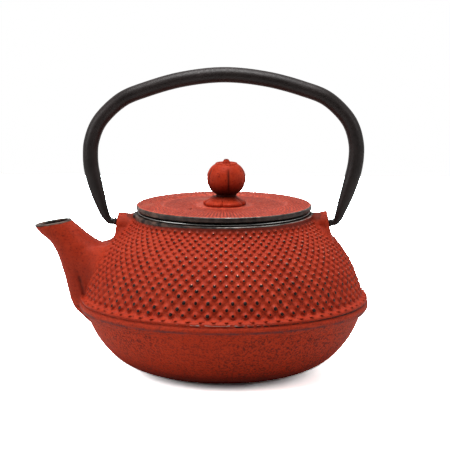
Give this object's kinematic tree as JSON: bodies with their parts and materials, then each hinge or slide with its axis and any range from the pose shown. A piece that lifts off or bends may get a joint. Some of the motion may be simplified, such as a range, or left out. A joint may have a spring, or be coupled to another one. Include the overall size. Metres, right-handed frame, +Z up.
{
  "type": "cast iron teapot",
  "caption": "Low red cast iron teapot with a hobnail shoulder, black folding bow handle, side spout, knobbed lift-off lid and a steel tea infuser in its mouth.",
  "frame": {"origin": "centre of the flat base, where the teapot stands", "axes": "+Z up, spout towards -X, handle and ears in the XZ plane, hinge line along X"},
  "size_m": [0.1781, 0.1548, 0.1636],
  "materials": {
    "red_iron": "brick red coat rubbed through to black on high spots, black enamel inside",
    "lid_iron": "satin brick red coat with black worn edges, black enamel under",
    "knob_iron": "satin dark red coat, black in the hollows",
    "black_iron": "satin black lacquered iron",
    "steel": "bright pressed sheet",
    "steel_mesh": "fine woven wire mesh"
  },
  "bodies": {
    "pot": {"pot_body": "red_iron"},
    "handle": {"handle_bow": "black_iron", "handle_pin_left": "black_iron", "handle_pin_right": "black_iron"},
    "infuser": {"infuser_rim": "steel", "infuser_wall": "steel_mesh", "infuser_base_ring": "steel", "infuser_floor": "steel_mesh"},
    "lid": {"lid_plate": "lid_iron", "lid_knob_seat": "knob_iron", "lid_knob": "knob_iron", "lid_stud": "steel", "lid_washer": "steel", "lid_nut": "steel"}
  },
  "joints": [
    {"name": "handle_fold", "type": "hinge", "parent": "pot", "child": "handle", "pos_m": [0, 0, 0.0804], "axis": [1, 0, 0], "range_deg": [-108, 108]},
    {"name": "infuser_lift", "type": "slide", "parent": "pot", "child": "infuser", "axis": [0, 0, 1], "range_m": [0, 0.038]},
    {"name": "lid_lift", "type": "slide", "parent": "infuser", "child": "lid", "axis": [0, 0, 1], "range_m": [0, 0.038]}
  ]
}
